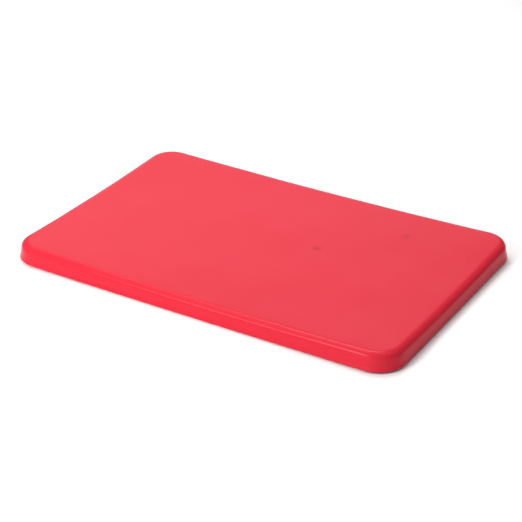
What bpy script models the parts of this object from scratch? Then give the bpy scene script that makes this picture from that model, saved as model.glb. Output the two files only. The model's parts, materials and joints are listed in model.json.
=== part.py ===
"""Hollow moulded cutting board: a ribbed top shell, a base panel and six push-in rubber feet.

Units are metres and +Z is up. The origin lies under the middle of the board, on the plane that
the feet stand on. +X runs along the length and -Y is the long side that faces the cook.
"""

import math

import bmesh
import bpy
from mathutils import Matrix, Vector

# Length and width over the skirt. The bowed work face would reach CORNER_TOP at the corners of
# that rectangle, and stays about a millimetre lower on the rounded corners themselves.
LENGTH = 0.460
WIDTH = 0.300
CORNER_TOP = 0.0220

# Outline and edge of the top shell.
CORNER_RADIUS = 0.0312
CORNER_SEGMENTS = 8
EDGE_RADIUS = 0.0082
EDGE_SEGMENTS = 5

# The wall leans in by its draft above the flare, and stands out by the flare at the bottom.
FLARE = 0.0012
FLARE_START = 0.0008
FLARE_END = 0.0065
FLARE_STEPS = 5
DRAFT = 0.0008

# How the cooled moulding is bowed. The body is drawn flat, BODY_HEIGHT tall, and then settled.
BODY_HEIGHT = 0.0198
SKIRT_CLEARANCE = 0.0005
END_LIFT = 0.0014
SIDE_LIFT = 0.0001
LONG_EDGE_DIP = 0.0036
SHORT_EDGE_DIP = 0.0037
MIDDLE_FILL = 0.0020

# Wall thickness and ribs. The egg-crate has an odd number of cells each way.
WALL = 0.0026
CELLS_LONG = 11
CELLS_WIDE = 7
CELL_LONG = 0.0409
CELL_WIDE = 0.0414
RIB_THICKNESS = 0.0018
RIB_ARC_STEPS = 3

# Gap that parts keep where they touch.
GAP = 0.0003

# Base panel, pressed in from below. Its edge widens downward, as the skirt round it does.
PANEL_BOTTOM = 0.0028
PANEL_THICKNESS = 0.0024
PANEL_INSET = 0.0041
PANEL_FLARE = 0.0008
PANEL_EDGE_BEVEL = 0.0003
RECESS_DEPTH = 0.0006

# Rubber feet: a pad below the panel, a stem through it and a barbed head above it.
FOOT_RADIUS = 0.0120
FOOT_CHAMFER = 0.0008
STEM_RADIUS = 0.0037
HEAD_RADIUS = 0.0055
HEAD_HEIGHT = 0.0034
HEAD_TIP_RADIUS = 0.0026
ROUND_STEPS = 32

RED = (0.84, 0.045, 0.07, 1.0)
RED_BASE = (0.80, 0.042, 0.066, 1.0)
RUBBER = (0.035, 0.035, 0.038, 1.0)

PANEL_TOP = PANEL_BOTTOM + PANEL_THICKNESS
RIB_BOTTOM = PANEL_TOP + GAP
RECESS_TOP = PANEL_BOTTOM + RECESS_DEPTH
WALL_SET_BACK = FLARE + DRAFT


def clear_scene():
    """Remove every object, so that the script starts from an empty file."""
    for old in list(bpy.data.objects):
        bpy.data.objects.remove(old, do_unlink=True)


def new_collection(name):
    """Link a new collection to the scene."""
    collection = bpy.data.collections.new(name)
    bpy.context.scene.collection.children.link(collection)
    return collection


def plastic(name, color, roughness):
    """Make a plain plastic or rubber material."""
    material = bpy.data.materials.new(name)
    material.use_nodes = True
    shader = material.node_tree.nodes["Principled BSDF"]
    shader.inputs["Base Color"].default_value = color
    shader.inputs["Roughness"].default_value = roughness
    shader.inputs["Metallic"].default_value = 0.0
    return material


def add_object(name, bm, collection):
    """Turn a bmesh into an object in the collection."""
    mesh = bpy.data.meshes.new(name)
    bm.to_mesh(mesh)
    bm.free()
    obj = bpy.data.objects.new(name, mesh)
    collection.objects.link(obj)
    return obj


def as_cutter(obj):
    """Show a helper object as wire and keep it out of renders."""
    obj.hide_render = True
    obj.display_type = "WIRE"
    return obj


def shade_round(obj):
    """Shade an object smooth across its shallow edges."""
    obj.data.shade_smooth()
    obj.data.set_sharp_from_angle(angle=math.radians(35))


def top_dip(x, y):
    """Drop of the work face below the raised corners."""
    along = 1 - (2 * x / LENGTH) ** 2
    across = 1 - (2 * y / WIDTH) ** 2
    return LONG_EDGE_DIP * along + SHORT_EDGE_DIP * across - MIDDLE_FILL * along * across


def skirt_lift(x, y):
    """Height of the skirt's lower edge above the table."""
    return SKIRT_CLEARANCE + END_LIFT * (2 * x / LENGTH) ** 2 + SIDE_LIFT * (2 * y / WIDTH) ** 2


def settled(x, y, z):
    """Height that a point of the flat-drawn body has once the moulding has cooled."""
    share = z / BODY_HEIGHT
    top_shift = CORNER_TOP - BODY_HEIGHT - top_dip(x, y)
    return z + skirt_lift(x, y) * (1 - share) + top_shift * share


def flare_at(z):
    """Distance that the wall stands out at a height of the flat-drawn body."""
    if z <= FLARE_START:
        return WALL_SET_BACK
    if z < FLARE_END:
        share = (z - FLARE_START) / (FLARE_END - FLARE_START)
        return DRAFT + FLARE * (1 + math.cos(math.pi * share)) / 2
    wall_top = BODY_HEIGHT - EDGE_RADIUS
    return DRAFT * max(0.0, (wall_top - z) / (wall_top - FLARE_END))


def outward(x, y, half_x, half_y, radius):
    """Direction that points square out of a rounded rectangle, nearest to (x, y)."""
    core_x = half_x - radius
    core_y = half_y - radius
    nearest = Vector((max(-core_x, min(core_x, x)), max(-core_y, min(core_y, y))))
    away = Vector((x, y)) - nearest
    return away.normalized()


def rib_places(cells, cell):
    """Places of the ribs between an odd number of cells."""
    return [(index - cells / 2) * cell for index in range(1, cells)]


def rounded_block(half_x, half_y, low, high, radius):
    """Block with rounded vertical corners, as a bmesh."""
    bm = bmesh.new()
    bmesh.ops.create_cube(bm, size=1.0)
    bmesh.ops.scale(bm, vec=(2 * half_x, 2 * half_y, high - low), verts=bm.verts)
    bmesh.ops.translate(bm, vec=(0, 0, (high + low) / 2), verts=bm.verts)
    upright = [edge for edge in bm.edges if abs(edge.verts[0].co.z - edge.verts[1].co.z) > 1e-6]
    bmesh.ops.bevel(bm, geom=upright, offset=radius, segments=CORNER_SEGMENTS,
                    profile=0.5, affect="EDGES", clamp_overlap=False)
    return bm


def round_rim(bm, height, offset, segments):
    """Round the edges of a bmesh that lie at one height."""
    rim = [edge for edge in bm.edges if all(abs(v.co.z - height) < 1e-6 for v in edge.verts)]
    bmesh.ops.bevel(bm, geom=rim, offset=offset, segments=segments,
                    profile=0.5, affect="EDGES", clamp_overlap=False)


def slice_at(bm, place, axis):
    """Cut new edges across a bmesh, on the plane square to an axis."""
    point = Vector((0, 0, 0))
    point[axis] = place
    normal = Vector((0, 0, 0))
    normal[axis] = 1
    geometry = bm.verts[:] + bm.edges[:] + bm.faces[:]
    bmesh.ops.bisect_plane(bm, geom=geometry, dist=1e-6, plane_co=point, plane_no=normal)


def shell_surface():
    """Outer skin of the top shell: an open cap with a flared skirt, bowed as it cooled."""
    half_x = LENGTH / 2 - WALL_SET_BACK
    half_y = WIDTH / 2 - WALL_SET_BACK
    radius = CORNER_RADIUS - WALL_SET_BACK
    bm = rounded_block(half_x, half_y, 0, BODY_HEIGHT, radius)
    round_rim(bm, BODY_HEIGHT, EDGE_RADIUS, EDGE_SEGMENTS)
    floor = [face for face in bm.faces if face.normal.z < -0.5]
    bmesh.ops.delete(bm, geom=floor, context="FACES_ONLY")
    for step in range(FLARE_STEPS + 1):
        slice_at(bm, FLARE_START + (FLARE_END - FLARE_START) * step / FLARE_STEPS, 2)
    for place in rib_places(CELLS_LONG, CELL_LONG):
        slice_at(bm, place, 0)
    for place in rib_places(CELLS_WIDE, CELL_WIDE):
        slice_at(bm, place, 1)
    for vert in bm.verts:
        push = flare_at(vert.co.z)
        if push > 0:
            away = outward(vert.co.x, vert.co.y, half_x, half_y, radius)
            vert.co.x += away.x * push
            vert.co.y += away.y * push
    for vert in bm.verts:
        vert.co.z = settled(vert.co.x, vert.co.y, vert.co.z)
    return bm


def rib_outline(half_length, crossings, height_at):
    """Outline of one rib, from its straight foot up inside the wall and along under the deck."""
    end = half_length - WALL_SET_BACK - WALL / 2
    bend_radius = EDGE_RADIUS - WALL / 2
    bend_middle = end - bend_radius
    side = []
    for step in range(RIB_ARC_STEPS + 1):
        angle = math.pi / 2 * step / RIB_ARC_STEPS
        place = bend_middle + bend_radius * math.cos(angle)
        drawn = BODY_HEIGHT - EDGE_RADIUS + bend_radius * math.sin(angle)
        side.append((place, height_at(place, drawn)))
    deck = [(place, height_at(place, BODY_HEIGHT - WALL / 2)) for place in reversed(crossings)]
    other = []
    for step in range(RIB_ARC_STEPS + 1):
        angle = math.pi / 2 * (RIB_ARC_STEPS - step) / RIB_ARC_STEPS
        place = -bend_middle - bend_radius * math.cos(angle)
        drawn = BODY_HEIGHT - EDGE_RADIUS + bend_radius * math.sin(angle)
        other.append((place, height_at(place, drawn)))
    return [(-end, RIB_BOTTOM), (end, RIB_BOTTOM)] + side + deck + other


def upright_plate(name, outline, thickness, turn, collection):
    """Flat plate of an outline in length and height, stood up and turned about Z."""
    curve = bpy.data.curves.new(name, "CURVE")
    curve.dimensions = "2D"
    curve.fill_mode = "BOTH"
    curve.extrude = thickness / 2
    spline = curve.splines.new("POLY")
    spline.points.add(len(outline) - 1)
    for point, (place, height) in zip(spline.points, outline):
        point.co = (place, height, 0, 1)
    spline.use_cyclic_u = True
    drawn = bpy.data.objects.new(name + "_outline", curve)
    collection.objects.link(drawn)
    bpy.context.view_layer.update()
    evaluated = drawn.evaluated_get(bpy.context.evaluated_depsgraph_get())
    mesh = bpy.data.meshes.new_from_object(evaluated)
    bpy.data.objects.remove(drawn)
    bm = bmesh.new()
    bm.from_mesh(mesh)
    bmesh.ops.remove_doubles(bm, verts=bm.verts, dist=1e-6)
    bmesh.ops.recalc_face_normals(bm, faces=bm.faces)
    stand = Matrix.Rotation(turn, 4, "Z") @ Matrix.Rotation(math.pi / 2, 4, "X")
    bmesh.ops.transform(bm, matrix=stand, verts=bm.verts)
    bm.to_mesh(mesh)
    bm.free()
    plate = bpy.data.objects.new(name, mesh)
    collection.objects.link(plate)
    return as_cutter(plate)


def make_ribs(collection):
    """Egg-crate of ribs that reaches from the deck down to the base panel."""
    long_places = rib_places(CELLS_LONG, CELL_LONG)
    wide_places = rib_places(CELLS_WIDE, CELL_WIDE)
    for number, y in enumerate(wide_places, 1):
        outline = rib_outline(LENGTH / 2, long_places, lambda x, z: settled(x, y, z))
        rib = upright_plate("long_rib_%d" % number, outline, RIB_THICKNESS, 0, collection)
        rib.location.y = y
    for number, x in enumerate(long_places, 1):
        outline = rib_outline(WIDTH / 2, wide_places, lambda y, z: settled(x, y, z))
        rib = upright_plate("cross_rib_%d" % number, outline, RIB_THICKNESS, math.pi / 2, collection)
        rib.location.x = x


def make_top_shell(collection, ribs, material):
    """Top shell: the visible moulding, thickened inward, with its ribs grown on."""
    shell = add_object("top_shell", shell_surface(), collection)
    shell.data.materials.append(material)
    shade_round(shell)
    skin = shell.modifiers.new("wall", "SOLIDIFY")
    skin.thickness = WALL
    skin.offset = -1
    skin.use_even_offset = True
    grow = shell.modifiers.new("ribs", "BOOLEAN")
    grow.operation = "UNION"
    grow.solver = "EXACT"
    grow.operand_type = "COLLECTION"
    grow.collection = ribs
    return shell


def foot_places():
    """Name and place of each foot, in the corner cells and the middle cells."""
    columns = {"left": -(CELLS_LONG // 2), "middle": 0, "right": CELLS_LONG // 2}
    rows = {"front": -(CELLS_WIDE // 2), "back": CELLS_WIDE // 2}
    places = {}
    for row, row_cell in rows.items():
        for column, column_cell in columns.items():
            places["foot_%s_%s" % (row, column)] = (column_cell * CELL_LONG, row_cell * CELL_WIDE)
    return places


def turned(name, profile, collection):
    """Turned piece from a profile that runs down its outer side, from the axis to the axis."""
    bm = bmesh.new()
    rings = [bm.verts.new((radius, 0, height)) for radius, height in profile]
    for upper, lower in zip(rings, rings[1:]):
        bm.edges.new((upper, lower))
    piece = add_object(name, bm, collection)
    screw = piece.modifiers.new("turn", "SCREW")
    screw.steps = ROUND_STEPS
    screw.render_steps = ROUND_STEPS
    screw.use_merge_vertices = True
    screw.merge_threshold = 0.00001
    screw.use_smooth_shade = False
    return piece


def make_sockets(collection):
    """Cutters for the hole and the shallow round recess that each foot is pushed into."""
    above = PANEL_TOP + 0.001
    below = PANEL_BOTTOM - 0.001
    profile = [
        (0, above),
        (STEM_RADIUS + GAP, above),
        (STEM_RADIUS + GAP, RECESS_TOP),
        (FOOT_RADIUS + GAP, RECESS_TOP),
        (FOOT_RADIUS + GAP, below),
        (0, below),
    ]
    for name, (x, y) in foot_places().items():
        socket = turned(name + "_socket", profile, collection)
        socket.location = (x, y, 0)
        as_cutter(socket)


def make_base_panel(collection, sockets, material):
    """Flat panel that closes the hollow from below, up against the skirt and the ribs."""
    half_x = LENGTH / 2 - PANEL_INSET
    half_y = WIDTH / 2 - PANEL_INSET
    radius = CORNER_RADIUS - PANEL_INSET
    bm = rounded_block(half_x, half_y, PANEL_BOTTOM, PANEL_TOP, radius)
    round_rim(bm, PANEL_BOTTOM, PANEL_EDGE_BEVEL, 1)
    for vert in bm.verts:
        push = PANEL_FLARE * (PANEL_TOP - vert.co.z) / PANEL_THICKNESS
        away = outward(vert.co.x, vert.co.y, half_x, half_y, radius)
        vert.co.x += away.x * push
        vert.co.y += away.y * push
    panel = add_object("base_panel", bm, collection)
    panel.data.materials.append(material)
    cut = panel.modifiers.new("foot_sockets", "BOOLEAN")
    cut.operation = "DIFFERENCE"
    cut.solver = "EXACT"
    cut.operand_type = "COLLECTION"
    cut.collection = sockets
    shade_round(panel)
    return panel


def make_foot(name, x, y, collection, material):
    """Mushroom-shaped rubber foot, turned about its own axis."""
    pad_top = RECESS_TOP - GAP
    head_low = PANEL_TOP + GAP
    head_high = head_low + HEAD_HEIGHT
    profile = [
        (0, head_high),
        (HEAD_TIP_RADIUS, head_high),
        (HEAD_RADIUS, head_low + HEAD_HEIGHT * 0.2),
        (HEAD_RADIUS, head_low),
        (STEM_RADIUS, head_low),
        (STEM_RADIUS, pad_top),
        (FOOT_RADIUS, pad_top),
        (FOOT_RADIUS, FOOT_CHAMFER),
        (FOOT_RADIUS - FOOT_CHAMFER, 0),
        (0, 0),
    ]
    foot = turned(name, profile, collection)
    foot.location = (x, y, 0)
    foot.data.materials.append(material)
    shade_round(foot)
    return foot


def main():
    clear_scene()
    board = new_collection("cutting_board")
    ribs = new_collection("rib_shapes")
    sockets = new_collection("foot_socket_cutters")
    red = plastic("red_plastic", RED, 0.38)
    red_base = plastic("red_base_plastic", RED_BASE, 0.5)
    rubber = plastic("foot_rubber", RUBBER, 0.8)
    make_ribs(ribs)
    make_sockets(sockets)
    make_top_shell(board, ribs, red)
    make_base_panel(board, sockets, red_base)
    for name, (x, y) in foot_places().items():
        make_foot(name, x, y, board, rubber)


main()
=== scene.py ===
"""Looks of the hollow moulded cutting board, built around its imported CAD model.

Units are metres and +Z is up, in the CAD model's own frame. The fine meshes repeat the CAD shapes
with smooth outlines, rounded rims and the soft unevenness of a thin moulding.
"""

import json
import math

import bmesh
import bpy
from mathutils import Matrix, Vector
from mathutils.geometry import delaunay_2d_cdt

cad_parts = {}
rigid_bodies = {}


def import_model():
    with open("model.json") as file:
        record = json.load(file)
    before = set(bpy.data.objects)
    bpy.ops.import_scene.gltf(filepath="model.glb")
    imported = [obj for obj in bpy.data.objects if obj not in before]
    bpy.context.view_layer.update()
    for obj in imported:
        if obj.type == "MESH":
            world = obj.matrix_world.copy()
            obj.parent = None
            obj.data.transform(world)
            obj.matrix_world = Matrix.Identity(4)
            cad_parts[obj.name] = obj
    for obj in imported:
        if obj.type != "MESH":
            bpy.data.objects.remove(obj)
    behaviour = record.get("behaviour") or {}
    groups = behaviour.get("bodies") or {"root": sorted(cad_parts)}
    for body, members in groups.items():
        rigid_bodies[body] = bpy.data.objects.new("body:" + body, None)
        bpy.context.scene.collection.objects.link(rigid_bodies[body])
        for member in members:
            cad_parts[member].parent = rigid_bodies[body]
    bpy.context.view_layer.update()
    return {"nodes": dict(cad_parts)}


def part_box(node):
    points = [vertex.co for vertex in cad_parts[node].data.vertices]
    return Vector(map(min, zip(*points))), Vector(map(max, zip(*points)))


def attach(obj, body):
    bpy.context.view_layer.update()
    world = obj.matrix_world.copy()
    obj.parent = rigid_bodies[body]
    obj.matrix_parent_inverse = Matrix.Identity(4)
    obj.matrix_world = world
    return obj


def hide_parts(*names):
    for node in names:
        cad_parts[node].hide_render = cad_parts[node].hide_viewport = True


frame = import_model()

# Overall size, read from the frame.
SHELL_LOW, SHELL_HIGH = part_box("top_shell")
PANEL_LOW, PANEL_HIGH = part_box("base_panel")
LENGTH = SHELL_HIGH.x - SHELL_LOW.x
WIDTH = SHELL_HIGH.y - SHELL_LOW.y
FEET = [name for name in sorted(frame["nodes"]) if name.startswith("foot_")]

# Shape of the top shell, as the CAD model has it.
BODY_HEIGHT = 0.0198
CORNER_TOP = 0.0220
CORNER_RADIUS = 0.0312
EDGE_RADIUS = 0.0082
FLARE = 0.0012
FLARE_START = 0.0008
FLARE_END = 0.0065
DRAFT = 0.0008
WALL = 0.0026
SKIRT_CLEARANCE = 0.0005
END_LIFT = 0.0014
SIDE_LIFT = 0.0001
LONG_EDGE_DIP = 0.0036
SHORT_EDGE_DIP = 0.0037
MIDDLE_FILL = 0.0020
WALL_SET_BACK = FLARE + DRAFT

# Ribs under the deck.
CELLS_LONG = 11
CELLS_WIDE = 7
CELL_LONG = 0.0409
CELL_WIDE = 0.0414
RIB_THICKNESS = 0.0018
RIB_ARC_STEPS = 3
GAP = 0.0003
RIB_BOTTOM = PANEL_HIGH.z + GAP

# Edge of the base panel and sockets in it.
PANEL_FLARE = 0.0008
PANEL_ROUND = 0.0004
PANEL_ROUND_STEPS = 4
RECESS_RADIUS = 0.0123
RECESS_DEPTH = 0.0006
HOLE_RADIUS = 0.0040
LIP = 0.0002

# Radius and depth of the rings of an ejector pin's mark and of the gate's mark.
PIN_MARK = ((0.0040, 0.0), (0.0039, 0.00010), (0.0010, 0.00013))
GATE_MARK = (
    (0.0060, 0.0), (0.0056, 0.00035), (0.0018, 0.00040), (0.0014, 0.00015), (0.0006, 0.00012),
)
MARK_STEPS = 36

# Rubber feet: a pad with round grooves under it, a stem and a barbed head.
PAD_RADIUS = 0.0120
PAD_ROUND = 0.0009
PAD_ROUND_STEPS = 6
GROOVE_DEPTH = 0.0004
STEM_RADIUS = 0.0037
HEAD_RADIUS = 0.0055
HEAD_TIP_RADIUS = 0.0021

# Fineness of the meshes: steps round a corner, spacings, and rings up each stretch of wall.
CORNER_STEPS = 22
SIDE_SPACING = 0.0037
RIM_RINGS = 5
FLARE_RINGS = 10
EDGE_RINGS = 12
DECK_SPACING = 0.0032
UNDER_SPACING = 0.0105
PANEL_SPACING = 0.0060
OUTER_RIM_RADIUS = 0.0012
INNER_RIM_RADIUS = 0.0008
ROUND_STEPS = 72

# Soft unevenness of the deck: size, length, direction and phase of each long wave.
DECK_WAVES = (
    (0.00007, 0.163, 0.42, 0.6),
    (0.00006, 0.118, 1.93, 2.1),
    (0.00004, 0.071, 2.74, 4.4),
    (0.00003, 0.052, 1.12, 1.3),
    (0.000015, 0.031, 0.15, 5.2),
)
WAVE_TOP = sum(size for size, _, _, _ in DECK_WAVES)

# Tiny sink marks in the work face: place, radius, depth and the strength of the painted shade that
# darkens them. A mark's shape ends at DIMPLE_REACH radii and its painted shade at MARK_SPREAD radii.
DIMPLES = (
    (0.0547, 0.0194, 0.0034, 0.00003, 0.26),
    (0.1262, 0.0912, 0.0036, 0.00002, 0.19),
    (-0.1216, -0.0572, 0.0030, 0.00001, 0.05),
)
DIMPLE_REACH = 1.8
DIMPLE_FALL = 2.2
DIMPLE_RINGS = 6
MARK_SPREAD = 2.2

# Camera, at the photograph's angle. Its azimuth is counted from the front, toward +X.
CAMERA_AZIMUTH = math.radians(30.86)
CAMERA_ELEVATION = math.radians(28.59)
CAMERA_ROLL = math.radians(0.15)
CAMERA_DISTANCE = 1.7045
CAMERA_TARGET = Vector((0.0026, -0.0098, 0.0))
CAMERA_LENS = 109.3

# Studio lights: name, azimuth from the front toward +X, elevation, distance, size and power.
SOFTBOXES = (
    ("key_front", -15, 36, 1.3, 0.25, 7.0),
    ("front_left", -30, 30, 1.3, 0.25, 3.5),
    ("front_low", 0, 8, 1.3, 0.55, 4.0),
    ("left_high", -60, 66, 1.3, 0.55, 2.5),
    ("left_middle", -120, 50, 1.3, 0.55, 2.5),
    ("back_left_wide", -150, 15, 1.8, 1.20, 6.5),
    ("back_left_high", -150, 66, 1.3, 0.55, 8.5),
    ("right_high", 90, 66, 1.3, 0.55, 2.5),
)
WORLD_STRENGTH = 0.2
FLOOR_HALF_SIZE = 6.0
FLOOR_DROP = 0.0002


# ------------------------------------------------------------------ shape of the moulding


def top_dip(x, y):
    """Drop of the work face below the raised corners."""
    along = 1 - (2 * x / LENGTH) ** 2
    across = 1 - (2 * y / WIDTH) ** 2
    return LONG_EDGE_DIP * along + SHORT_EDGE_DIP * across - MIDDLE_FILL * along * across


def skirt_lift(x, y):
    """Height of the skirt's lower edge above the table."""
    return SKIRT_CLEARANCE + END_LIFT * (2 * x / LENGTH) ** 2 + SIDE_LIFT * (2 * y / WIDTH) ** 2


def wave(x, y):
    """Depth of the deck's soft unevenness, a sum of a few long crossing waves."""
    total = WAVE_TOP
    for size, length, turn, phase in DECK_WAVES:
        along = x * math.cos(turn) + y * math.sin(turn)
        total += size * math.sin(2 * math.pi * along / length + phase)
    return total


def dimple(x, y):
    """Depth of the sink marks at a place."""
    depth = 0.0
    for place_x, place_y, radius, deepest, _ in DIMPLES:
        share = math.hypot(x - place_x, y - place_y) / radius
        if share < DIMPLE_REACH:
            depth += deepest * math.exp(-DIMPLE_FALL * share * share)
    return depth


def settled(x, y, z, full_height=BODY_HEIGHT):
    """Height that a point of the flat-drawn body has once the moulding has cooled.

    The whole bow of the deck is reached at full_height, which is lower for the inner skin.
    """
    share = z / full_height
    top_shift = CORNER_TOP - BODY_HEIGHT - top_dip(x, y) - wave(x, y)
    return z + skirt_lift(x, y) * (1 - share) + top_shift * share


def inset_at(z):
    """Distance that the wall stands in from the outermost line, at a height as drawn flat."""
    if z <= FLARE_START:
        return 0.0
    if z < FLARE_END:
        share = (z - FLARE_START) / (FLARE_END - FLARE_START)
        return FLARE * (1 - math.cos(math.pi * share)) / 2
    wall_top = BODY_HEIGHT - EDGE_RADIUS
    return FLARE + DRAFT * min(1.0, (z - FLARE_END) / (wall_top - FLARE_END))


def outer_profile():
    """Inset and height of the rings of the outer skin, from its lower rim to the deck."""
    rings = []
    for step in range(RIM_RINGS + 1):
        angle = math.pi / 2 * step / RIM_RINGS
        height = OUTER_RIM_RADIUS * (1 - math.cos(angle))
        rings.append((inset_at(height) + OUTER_RIM_RADIUS * (1 - math.sin(angle)), height))
    for step in range(1, FLARE_RINGS + 1):
        height = OUTER_RIM_RADIUS + (FLARE_END - OUTER_RIM_RADIUS) * step / FLARE_RINGS
        rings.append((inset_at(height), height))
    for step in range(EDGE_RINGS + 1):
        angle = math.pi / 2 * step / EDGE_RINGS
        inset = WALL_SET_BACK + EDGE_RADIUS * (1 - math.cos(angle))
        rings.append((inset, BODY_HEIGHT - EDGE_RADIUS * (1 - math.sin(angle))))
    return rings


def inner_profile():
    """Inset and height of the rings of the inner skin, from its lower rim to under the deck."""
    rings = []
    for step in range(RIM_RINGS + 1):
        angle = math.pi / 2 * step / RIM_RINGS
        inset = WALL - INNER_RIM_RADIUS * (1 - math.sin(angle))
        rings.append((inset, INNER_RIM_RADIUS * (1 - math.cos(angle))))
    for step in range(1, FLARE_RINGS // 2 + 1):
        height = INNER_RIM_RADIUS + (FLARE_END - INNER_RIM_RADIUS) * 2 * step / FLARE_RINGS
        rings.append((inset_at(height) + WALL, height))
    bend = EDGE_RADIUS - WALL
    for step in range(EDGE_RINGS // 2 + 1):
        angle = math.pi * step / EDGE_RINGS
        inset = WALL_SET_BACK + WALL + bend * (1 - math.cos(angle))
        rings.append((inset, BODY_HEIGHT - WALL - bend * (1 - math.sin(angle))))
    return rings


# ------------------------------------------------------------------ mesh tools


def stations(half_x, half_y, radius, spacing):
    """Places round a rounded rectangle: each is a point on its core and a direction outward."""
    core_x = half_x - radius
    core_y = half_y - radius
    corners = [(core_x, core_y), (-core_x, core_y), (-core_x, -core_y), (core_x, -core_y)]
    places = []
    for number, corner in enumerate(corners):
        start = math.pi / 2 * number
        for step in range(CORNER_STEPS + 1):
            angle = start + math.pi / 2 * step / CORNER_STEPS
            places.append((Vector(corner), Vector((math.cos(angle), math.sin(angle)))))
        side = Vector(corners[(number + 1) % 4]) - Vector(corner)
        pieces = max(2, round(side.length / spacing))
        angle = start + math.pi / 2
        square = Vector((math.cos(angle), math.sin(angle)))
        for step in range(1, pieces):
            places.append((Vector(corner) + side * step / pieces, square))
    return places


def ring_at(bm, places, radius, height_at):
    """One closed ring of vertices at a distance out from the core."""
    ring = []
    for core, direction in places:
        spot = core + direction * radius
        ring.append(bm.verts.new((spot.x, spot.y, height_at(spot.x, spot.y))))
    return ring


def circle(bm, middle, radius, height, count=ROUND_STEPS):
    """One round ring of vertices, level."""
    ring = []
    for step in range(count):
        angle = 2 * math.pi * step / count
        spot = middle + Vector((math.cos(angle), math.sin(angle))) * radius
        ring.append(bm.verts.new((spot.x, spot.y, height)))
    return ring


def bridge(bm, lower, upper):
    """Quads between two rings that run the same way round; they face outward from the core."""
    count = len(lower)
    for index in range(count):
        after = (index + 1) % count
        bm.faces.new((lower[index], lower[after], upper[after], upper[index]))


def lattice(half_x, half_y, radius, spacing, margin):
    """Points of a triangular grid that lie inside a rounded rectangle, clear of its rim."""
    points = []
    row_height = spacing * math.sqrt(3) / 2
    rows = int(half_y / row_height) + 1
    columns = int(half_x / spacing) + 1
    for row in range(-rows, rows + 1):
        shift = spacing / 2 if row % 2 else 0.0
        for column in range(-columns, columns + 1):
            x = column * spacing + shift
            y = row * row_height
            away_x = max(abs(x) - (half_x - radius), 0.0)
            away_y = max(abs(y) - (half_y - radius), 0.0)
            if math.hypot(away_x, away_y) < radius - margin:
                points.append(Vector((x, y)))
    return points


def fill_patch(bm, rim, holes, points, height_at, facing_up):
    """Triangles across the inside of a rim, round any holes, through the given points."""
    loops = [rim] + holes
    fixed = [vert for loop in loops for vert in loop]
    coords = [vert.co.xy for vert in fixed] + points
    edges = []
    start = 0
    for loop in loops:
        count = len(loop)
        edges += [(start + index, start + (index + 1) % count) for index in range(count)]
        start += count
    made = delaunay_2d_cdt(coords, edges, [], 1, 1e-8, True)
    spots, triangles, sources = made[0], made[2], made[3]
    verts = []
    for spot, source in zip(spots, sources):
        known = [index for index in source if index < len(fixed)]
        if known:
            verts.append(fixed[known[0]])
        else:
            verts.append(bm.verts.new((spot.x, spot.y, height_at(spot.x, spot.y))))
    hole_sets = [set(hole) for hole in holes]
    for triangle in triangles:
        corners = [verts[index] for index in triangle]
        if any(all(corner in hole for corner in corners) for hole in hole_sets):
            continue
        turn = (corners[1].co.xy - corners[0].co.xy).cross(corners[2].co.xy - corners[0].co.xy)
        if (turn > 0) != facing_up:
            corners.reverse()
        bm.faces.new(corners)


def clear_of(points, marks):
    """The points that lie outside every mark, each a middle and a reach."""
    return [point for point in points
            if all((point - middle).length > reach for middle, reach in marks)]


def show(name, mesh, sharp_angle=math.radians(40)):
    """Make a smooth-shaded object of a mesh."""
    mesh.name = name
    mesh.shade_smooth()
    mesh.set_sharp_from_angle(angle=sharp_angle)
    obj = bpy.data.objects.new(name, mesh)
    bpy.context.scene.collection.objects.link(obj)
    return obj


def finished(bm):
    """The mesh of a bmesh, which is freed."""
    mesh = bpy.data.meshes.new("draft")
    bm.to_mesh(mesh)
    bm.free()
    return mesh


# ------------------------------------------------------------------ top shell


def dimple_points():
    """Extra points round each sink mark, so that its shape is in the mesh."""
    points = []
    for place_x, place_y, radius, _, _ in DIMPLES:
        points.append(Vector((place_x, place_y)))
        for ring in range(1, DIMPLE_RINGS + 1):
            reach = radius * DIMPLE_REACH * ring / DIMPLE_RINGS
            for step in range(6 * ring):
                angle = 2 * math.pi * step / (6 * ring)
                points.append(Vector((place_x + reach * math.cos(angle),
                                      place_y + reach * math.sin(angle))))
    return points


def deck_points():
    """Inner points of the deck: an even grid, finer at the sink marks."""
    inset = WALL_SET_BACK + EDGE_RADIUS
    grid = lattice(LENGTH / 2 - inset, WIDTH / 2 - inset, CORNER_RADIUS - inset,
                   DECK_SPACING, DECK_SPACING * 0.6)
    marks = [(Vector((x, y)), radius * DIMPLE_REACH + DECK_SPACING * 0.4)
             for x, y, radius, _, _ in DIMPLES]
    return clear_of(grid, marks) + dimple_points()


def at_height(drawn, full_height=BODY_HEIGHT):
    """Height function of a level of the flat-drawn body."""
    return lambda x, y: settled(x, y, drawn, full_height)


def shell_mesh():
    """The hollow moulding without its ribs, one closed surface."""
    bm = bmesh.new()
    places = stations(LENGTH / 2, WIDTH / 2, CORNER_RADIUS, SIDE_SPACING)
    outer = [ring_at(bm, places, CORNER_RADIUS - inset, at_height(height))
             for inset, height in outer_profile()]
    under_deck = BODY_HEIGHT - WALL
    inner = [ring_at(bm, places, CORNER_RADIUS - inset, at_height(height, under_deck))
             for inset, height in inner_profile()]
    for lower, upper in zip(outer, outer[1:]):
        bridge(bm, lower, upper)
    for lower, upper in zip(inner, inner[1:]):
        bridge(bm, upper, lower)
    bridge(bm, inner[0], outer[0])
    fill_patch(bm, outer[-1], [], deck_points(),
               lambda x, y: settled(x, y, BODY_HEIGHT) - dimple(x, y), True)
    inset = WALL_SET_BACK + EDGE_RADIUS
    under = lattice(LENGTH / 2 - inset, WIDTH / 2 - inset, CORNER_RADIUS - inset,
                    UNDER_SPACING, UNDER_SPACING * 0.4)
    fill_patch(bm, inner[-1], [], under, at_height(under_deck, under_deck), False)
    return finished(bm)


def rib_places(cells, cell):
    """Places of the ribs between an odd number of cells."""
    return [(index - cells / 2) * cell for index in range(1, cells)]


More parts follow.
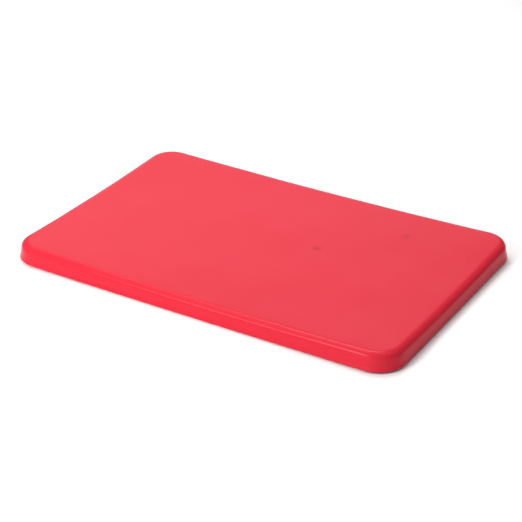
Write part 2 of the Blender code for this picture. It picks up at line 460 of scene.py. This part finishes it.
def rib_outline(half_length, crossings, height_at):
    """Outline of one rib, from its straight foot up inside the wall and along under the deck."""
    end = half_length - WALL_SET_BACK - WALL / 2
    bend_radius = EDGE_RADIUS - WALL / 2
    bend_middle = end - bend_radius
    side = []
    for step in range(RIB_ARC_STEPS + 1):
        angle = math.pi / 2 * step / RIB_ARC_STEPS
        side.append((bend_middle + bend_radius * math.cos(angle),
                     BODY_HEIGHT - EDGE_RADIUS + bend_radius * math.sin(angle)))
    deck = [(place, BODY_HEIGHT - WALL / 2) for place in reversed(crossings)]
    mirrored = [(-place, drawn) for place, drawn in reversed(side)]
    upper = [(place, height_at(place, drawn)) for place, drawn in side + deck + mirrored]
    return [(-end, RIB_BOTTOM), (end, RIB_BOTTOM)] + upper


def rib_object(name, outline, place, lengthwise):
    """One rib as a closed plate, standing at its place."""
    bm = bmesh.new()
    half = RIB_THICKNESS / 2
    faces = []
    for side in (-half, half):
        if lengthwise:
            spots = [(along, place + side, height) for along, height in outline]
        else:
            spots = [(place + side, along, height) for along, height in outline]
        faces.append([bm.verts.new(spot) for spot in spots])
    bridge(bm, faces[0], faces[1])
    bm.faces.new(faces[0])
    bm.faces.new(faces[1])
    bmesh.ops.recalc_face_normals(bm, faces=bm.faces)
    return bpy.data.objects.new(name, finished(bm))


def rib_objects():
    """All the ribs of the egg-crate, in a collection of their own."""
    crate = bpy.data.collections.new("rib_shapes")
    bpy.context.scene.collection.children.link(crate)
    long_places = rib_places(CELLS_LONG, CELL_LONG)
    wide_places = rib_places(CELLS_WIDE, CELL_WIDE)
    for y in wide_places:
        outline = rib_outline(LENGTH / 2, long_places, lambda x, z: settled(x, y, z))
        crate.objects.link(rib_object("rib", outline, y, True))
    for x in long_places:
        outline = rib_outline(WIDTH / 2, wide_places, lambda y, z: settled(x, y, z))
        crate.objects.link(rib_object("rib", outline, x, False))
    return crate


def make_shell():
    """The finished top shell, with its ribs grown on inside."""
    plain = bpy.data.objects.new("shell_draft", shell_mesh())
    bpy.context.scene.collection.objects.link(plain)
    crate = rib_objects()
    grow = plain.modifiers.new("ribs", "BOOLEAN")
    grow.operation = "UNION"
    grow.solver = "MANIFOLD"
    grow.operand_type = "COLLECTION"
    grow.collection = crate
    bpy.context.view_layer.update()
    evaluated = plain.evaluated_get(bpy.context.evaluated_depsgraph_get())
    mesh = bpy.data.meshes.new_from_object(evaluated)
    for draft in [plain] + list(crate.objects):
        bpy.data.objects.remove(draft)
    bpy.data.collections.remove(crate)
    return show("board_shell", mesh)


# ------------------------------------------------------------------ base panel


def foot_middle(name):
    """Middle of a foot, in plan."""
    low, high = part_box(name)
    return Vector(((low.x + high.x) / 2, (low.y + high.y) / 2))


def pin_marks():
    """Places of the round marks that the mould's ejector pins left, between the ribs."""
    marks = []
    for column in (-4, -2, 2, 4):
        for row in (-2, 0, 2):
            marks.append(Vector((column * CELL_LONG, row * CELL_WIDE)))
    return marks


def socket(bm, middle, bottom, top):
    """Recess and hole for one foot: returns its rim below and its rim above."""
    floor = bottom + RECESS_DEPTH
    rings = [
        circle(bm, middle, RECESS_RADIUS + LIP, bottom),
        circle(bm, middle, RECESS_RADIUS + LIP * 0.3, bottom + LIP * 0.3),
        circle(bm, middle, RECESS_RADIUS, bottom + LIP),
        circle(bm, middle, RECESS_RADIUS, floor),
        circle(bm, middle, HOLE_RADIUS + LIP, floor),
        circle(bm, middle, HOLE_RADIUS, floor + LIP),
        circle(bm, middle, HOLE_RADIUS, top - LIP),
        circle(bm, middle, HOLE_RADIUS + LIP, top),
    ]
    for lower, upper in zip(rings, rings[1:]):
        bridge(bm, upper, lower)
    return rings[0], rings[-1]


def pressed_mark(bm, middle, surface, radii_and_depths):
    """A shallow round mark pressed up into the underside; returns its rim."""
    rings = [circle(bm, middle, radius, surface + depth, MARK_STEPS)
             for radius, depth in radii_and_depths]
    for lower, upper in zip(rings, rings[1:]):
        bridge(bm, upper, lower)
    bm.faces.new(rings[-1][::-1])
    return rings[0]


def panel_mesh():
    """The base panel with a flared, rounded edge, six foot sockets and its moulding marks."""
    bm = bmesh.new()
    half_x = (PANEL_HIGH.x - PANEL_LOW.x) / 2
    half_y = (PANEL_HIGH.y - PANEL_LOW.y) / 2
    radius = CORNER_RADIUS - (LENGTH / 2 - half_x)
    bottom, top = PANEL_LOW.z, PANEL_HIGH.z
    places = stations(half_x, half_y, radius, PANEL_SPACING)
    tilt = PANEL_FLARE / (top - bottom)
    profile = []
    for step in range(PANEL_ROUND_STEPS + 1):
        angle = math.pi / 2 * step / PANEL_ROUND_STEPS
        rise = PANEL_ROUND * (1 - math.cos(angle))
        profile.append((PANEL_ROUND * (1 - math.sin(angle)) + rise * tilt, bottom + rise))
    profile.append((PANEL_FLARE - LIP * tilt, top - LIP))
    profile.append((PANEL_FLARE + LIP, top))
    rings = [ring_at(bm, places, radius - inset, lambda x, y: height)
             for inset, height in profile]
    for lower, upper in zip(rings, rings[1:]):
        bridge(bm, lower, upper)
    below, above, marks = [], [], []
    for name in FEET:
        middle = foot_middle(name)
        rim_below, rim_above = socket(bm, middle, bottom, top)
        below.append(rim_below)
        above.append(rim_above)
        marks.append((middle, RECESS_RADIUS + PANEL_SPACING * 0.4))
    for middle in pin_marks():
        below.append(pressed_mark(bm, middle, bottom, PIN_MARK))
        marks.append((middle, PIN_MARK[0][0] + PANEL_SPACING * 0.4))
    centre = Vector((0.0, 0.0))
    below.append(pressed_mark(bm, centre, bottom, GATE_MARK))
    marks.append((centre, GATE_MARK[0][0] + PANEL_SPACING * 0.4))
    inset = PANEL_FLARE + LIP
    grid = lattice(half_x - inset, half_y - inset, radius - inset,
                   PANEL_SPACING, PANEL_SPACING * 0.4)
    fill_patch(bm, rings[0], below, clear_of(grid, marks), lambda x, y: bottom, False)
    fill_patch(bm, rings[-1], above, clear_of(grid, marks), lambda x, y: top, True)
    return finished(bm)


# ------------------------------------------------------------------ rubber feet


def groove(inner, outer, slope=0.0003):
    """Radius and height of the rings of a round groove in a pad's underside."""
    return [(inner, 0.0), (inner + slope, GROOVE_DEPTH), (outer - slope, GROOVE_DEPTH), (outer, 0.0)]


def foot_profile(top):
    """Radius and height of a foot's rings, from its underside up to the tip of its head."""
    grooves = groove(0.0022, 0.0038, 0.0004) + groove(0.0058, 0.0070) + groove(0.0088, 0.0100)
    pad_top = PANEL_LOW.z + RECESS_DEPTH - GAP
    edge = []
    for step in range(PAD_ROUND_STEPS + 1):
        angle = math.pi / 2 * step / PAD_ROUND_STEPS
        edge.append((PAD_RADIUS - PAD_ROUND * (1 - math.sin(angle)),
                     PAD_ROUND * (1 - math.cos(angle))))
    shoulder = [(PAD_RADIUS, pad_top - 0.0003), (PAD_RADIUS - 0.0001, pad_top - 0.0001),
                (PAD_RADIUS - 0.0003, pad_top)]
    low = PANEL_HIGH.z + GAP
    stem = [(STEM_RADIUS + 0.0004, pad_top), (STEM_RADIUS + 0.0001, pad_top + 0.0001),
            (STEM_RADIUS, pad_top + 0.0004), (STEM_RADIUS, low)]
    head = [(HEAD_RADIUS - 0.0002, low), (HEAD_RADIUS, low + 0.0002), (HEAD_RADIUS, low + 0.0006),
            (HEAD_RADIUS - 0.0003, low + 0.0010), (HEAD_TIP_RADIUS + 0.0008, top - 0.0003),
            (HEAD_TIP_RADIUS + 0.0004, top - 0.00005), (HEAD_TIP_RADIUS, top)]
    return grooves + edge + shoulder + stem + head


def foot_mesh(name):
    """One turned foot, closed at its underside and its tip."""
    low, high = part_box(name)
    middle = foot_middle(name)
    bm = bmesh.new()
    rings = [circle(bm, middle, radius, low.z + height)
             for radius, height in foot_profile(high.z - low.z)]
    for lower, upper in zip(rings, rings[1:]):
        bridge(bm, lower, upper)
    bm.faces.new(rings[0][::-1])
    bm.faces.new(rings[-1])
    return finished(bm)


# ------------------------------------------------------------------ materials


def start_material(name, roughness, specular):
    """An empty node material: returns it with its tree, its shader and its coordinates."""
    material = bpy.data.materials.new(name)
    material.use_nodes = True
    tree = material.node_tree
    shader = tree.nodes["Principled BSDF"]
    shader.inputs["Roughness"].default_value = roughness
    shader.inputs["Specular IOR Level"].default_value = specular
    place = tree.nodes.new("ShaderNodeTexCoord").outputs["Object"]
    return material, tree, shader, place


def noise(tree, place, scale, detail=2.0, roughness=0.5):
    """A noise pattern, from 0 to 1; its scale is in features per metre."""
    node = tree.nodes.new("ShaderNodeTexNoise")
    node.inputs["Scale"].default_value = scale
    node.inputs["Detail"].default_value = detail
    node.inputs["Roughness"].default_value = roughness
    tree.links.new(place, node.inputs["Vector"])
    return node.outputs["Fac"]


def stretch(tree, value, low, high, from_low=0.3, from_high=0.7):
    """Map a pattern to a range of values."""
    node = tree.nodes.new("ShaderNodeMapRange")
    node.inputs["From Min"].default_value = from_low
    node.inputs["From Max"].default_value = from_high
    node.inputs["To Min"].default_value = low
    node.inputs["To Max"].default_value = high
    tree.links.new(value, node.inputs["Value"])
    return node.outputs["Result"]


def combine(tree, operation, first, second):
    """Join two values by a sum, a product or another operation."""
    node = tree.nodes.new("ShaderNodeMath")
    node.operation = operation
    for socket_number, value in enumerate((first, second)):
        if isinstance(value, float):
            node.inputs[socket_number].default_value = value
        else:
            tree.links.new(value, node.inputs[socket_number])
    return node.outputs["Value"]


def mix_colors(tree, share, first, second):
    """A colour between two, by a pattern."""
    node = tree.nodes.new("ShaderNodeMix")
    node.data_type = "RGBA"
    tree.links.new(share, node.inputs[0])
    for socket_number, value in ((6, first), (7, second)):
        if isinstance(value, tuple):
            node.inputs[socket_number].default_value = value
        else:
            tree.links.new(value, node.inputs[socket_number])
    return node.outputs[2]


def spot(tree, place, middle, radius, strength):
    """A round pattern that fades from its strength at a place to nothing at a radius."""
    away = tree.nodes.new("ShaderNodeVectorMath")
    away.operation = "DISTANCE"
    away.inputs[1].default_value = middle
    tree.links.new(place, away.inputs[0])
    fade = stretch(tree, away.outputs["Value"], strength, 0.0, 0.0, radius)
    fade.node.interpolation_type = "SMOOTHSTEP"
    return fade


def bump(tree, height, distance, onto=None):
    """A bump of a height pattern, in metres, on top of an earlier one."""
    node = tree.nodes.new("ShaderNodeBump")
    node.inputs["Strength"].default_value = 1.0
    node.inputs["Distance"].default_value = distance
    tree.links.new(height, node.inputs["Height"])
    if onto is not None:
        tree.links.new(onto, node.inputs["Normal"])
    return node.outputs["Normal"]


def red_plastic():
    """Satin red moulded plastic: faint flow mottling, fine grain, painted shade in the sink marks.
    """
    material, tree, shader, place = start_material("red_plastic", 0.20, 0.070)
    broad = stretch(tree, noise(tree, place, 11.0, 3.0), 0.0, 1.0)
    fine = stretch(tree, noise(tree, place, 700.0, 3.0), 0.0, 1.0)
    flow = mix_colors(tree, broad, (0.595, 0.0212, 0.0400, 1.0), (0.609, 0.0221, 0.0414, 1.0))
    speck_share = combine(tree, "MULTIPLY", fine, 0.15)
    speck = mix_colors(tree, speck_share, flow, (0.575, 0.0206, 0.0386, 1.0))
    # Painted shade: each sink mark is darkened in the base colour, and made a little rougher.
    painted_mark_shade = 0.0
    for place_x, place_y, radius, _, strength in DIMPLES:
        middle = (place_x, place_y, settled(place_x, place_y, BODY_HEIGHT))
        mark = spot(tree, place, middle, radius * MARK_SPREAD, strength)
        painted_mark_shade = combine(tree, "MAXIMUM", painted_mark_shade, mark)
    # The near-black red mixed in here is painted shade inside the sink marks.
    tone = mix_colors(tree, painted_mark_shade, speck, (0.08, 0.010, 0.014, 1.0))
    tree.links.new(tone, shader.inputs["Base Color"])
    gloss = stretch(tree, noise(tree, place, 38.0, 3.0), 0.19, 0.21)
    grit = stretch(tree, noise(tree, place, 1500.0, 2.0), -0.02, 0.03)
    worn = combine(tree, "ADD", combine(tree, "ADD", gloss, grit), painted_mark_shade)
    tree.links.new(worn, shader.inputs["Roughness"])
    peel = bump(tree, noise(tree, place, 130.0, 2.0), 0.000008)
    grain = bump(tree, noise(tree, place, 2400.0, 3.0), 0.000005, peel)
    tree.links.new(grain, shader.inputs["Normal"])
    return material


def red_base_plastic():
    """The base panel's red plastic, with the duller spark-eroded grain of an underside."""
    material, tree, shader, place = start_material("red_base_plastic", 0.48, 0.2)
    broad = stretch(tree, noise(tree, place, 9.0, 3.0), 0.0, 1.0)
    flow = mix_colors(tree, broad, (0.580, 0.0205, 0.0390, 1.0), (0.612, 0.0225, 0.0418, 1.0))
    tree.links.new(flow, shader.inputs["Base Color"])
    gloss = stretch(tree, noise(tree, place, 600.0, 3.0), 0.42, 0.56)
    tree.links.new(gloss, shader.inputs["Roughness"])
    grain = bump(tree, noise(tree, place, 1300.0, 4.0, 0.6), 0.00003)
    tree.links.new(grain, shader.inputs["Normal"])
    return material


def foot_rubber():
    """Matt charcoal rubber with a bloom of lighter dust."""
    material, tree, shader, place = start_material("foot_rubber", 0.8, 0.35)
    bloom = stretch(tree, noise(tree, place, 260.0, 4.0), 0.0, 1.0, 0.35, 0.75)
    shade = mix_colors(tree, bloom, (0.022, 0.022, 0.024, 1.0), (0.050, 0.049, 0.048, 1.0))
    tree.links.new(shade, shader.inputs["Base Color"])
    gloss = stretch(tree, bloom, 0.68, 0.88, 0.0, 1.0)
    tree.links.new(gloss, shader.inputs["Roughness"])
    grain = bump(tree, noise(tree, place, 1800.0, 3.0), 0.00003)
    tree.links.new(grain, shader.inputs["Normal"])
    return material


def floor_paper():
    """White studio paper."""
    material, tree, shader, place = start_material("floor_paper", 0.9, 0.2)
    tone = stretch(tree, noise(tree, place, 3.0), 0.0, 1.0)
    shade = mix_colors(tree, tone, (0.96, 0.96, 0.96, 1.0), (0.97, 0.97, 0.97, 1.0))
    tree.links.new(shade, shader.inputs["Base Color"])
    return material


# ------------------------------------------------------------------ studio


def make_camera():
    """Camera at the photograph's angle."""
    azimuth, elevation = CAMERA_AZIMUTH, CAMERA_ELEVATION
    back = Vector((math.sin(azimuth) * math.cos(elevation),
                   -math.cos(azimuth) * math.cos(elevation), math.sin(elevation)))
    data = bpy.data.cameras.new("camera")
    data.sensor_width = 36.0
    data.lens = CAMERA_LENS
    data.clip_start = 0.05
    data.clip_end = 50.0
    camera = bpy.data.objects.new("camera", data)
    bpy.context.scene.collection.objects.link(camera)
    camera.location = CAMERA_TARGET + back * CAMERA_DISTANCE
    turn = back.to_track_quat("Z", "Y").to_matrix()
    camera.rotation_euler = (turn @ Matrix.Rotation(CAMERA_ROLL, 3, "Z")).to_euler()
    bpy.context.scene.camera = camera


def softbox(name, azimuth, elevation, distance, size, power):
    """Square area light that looks at the board from a direction, like a studio softbox."""
    a, e = math.radians(azimuth), math.radians(elevation)
    back = Vector((math.sin(a) * math.cos(e), -math.cos(a) * math.cos(e), math.sin(e)))
    data = bpy.data.lights.new(name, "AREA")
    data.shape = "SQUARE"
    data.size = size
    data.energy = power
    light = bpy.data.objects.new(name, data)
    bpy.context.scene.collection.objects.link(light)
    light.location = back * distance
    light.rotation_euler = back.to_track_quat("Z", "Y").to_euler()


def make_floor():
    """Large pale floor under the board."""
    bm = bmesh.new()
    bmesh.ops.create_grid(bm, x_segments=4, y_segments=4, size=FLOOR_HALF_SIZE)
    floor = show("floor", finished(bm))
    floor.location.z = -FLOOR_DROP
    floor.data.materials.append(floor_paper())


def make_world():
    """Even white surroundings."""
    world = bpy.data.worlds.new("studio")
    bpy.context.scene.world = world
    world.use_nodes = True
    background = world.node_tree.nodes["Background"]
    background.inputs["Color"].default_value = (1.0, 1.0, 1.0, 1.0)
    background.inputs["Strength"].default_value = WORLD_STRENGTH


def light_studio():
    """Soft light from the front and the back left, and little from the right."""
    make_world()
    for softbox_values in SOFTBOXES:
        softbox(*softbox_values)


def place_piece(piece, replaced, material):
    """Give a piece its material, fix it to the root body and hide the CAD part that it stands for.
    """
    piece.data.materials.clear()
    piece.data.materials.append(material)
    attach(piece, "root")
    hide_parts(replaced)


def main():
    bpy.context.scene.view_settings.view_transform = "Standard"
    make_camera()
    light_studio()
    make_floor()
    place_piece(make_shell(), "top_shell", red_plastic())
    panel = show("board_base", panel_mesh())
    place_piece(panel, "base_panel", red_base_plastic())
    rubber = foot_rubber()
    for name in FEET:
        foot = show("rubber_" + name, foot_mesh(name))
        place_piece(foot, name, rubber)
    bpy.context.view_layer.update()


main()
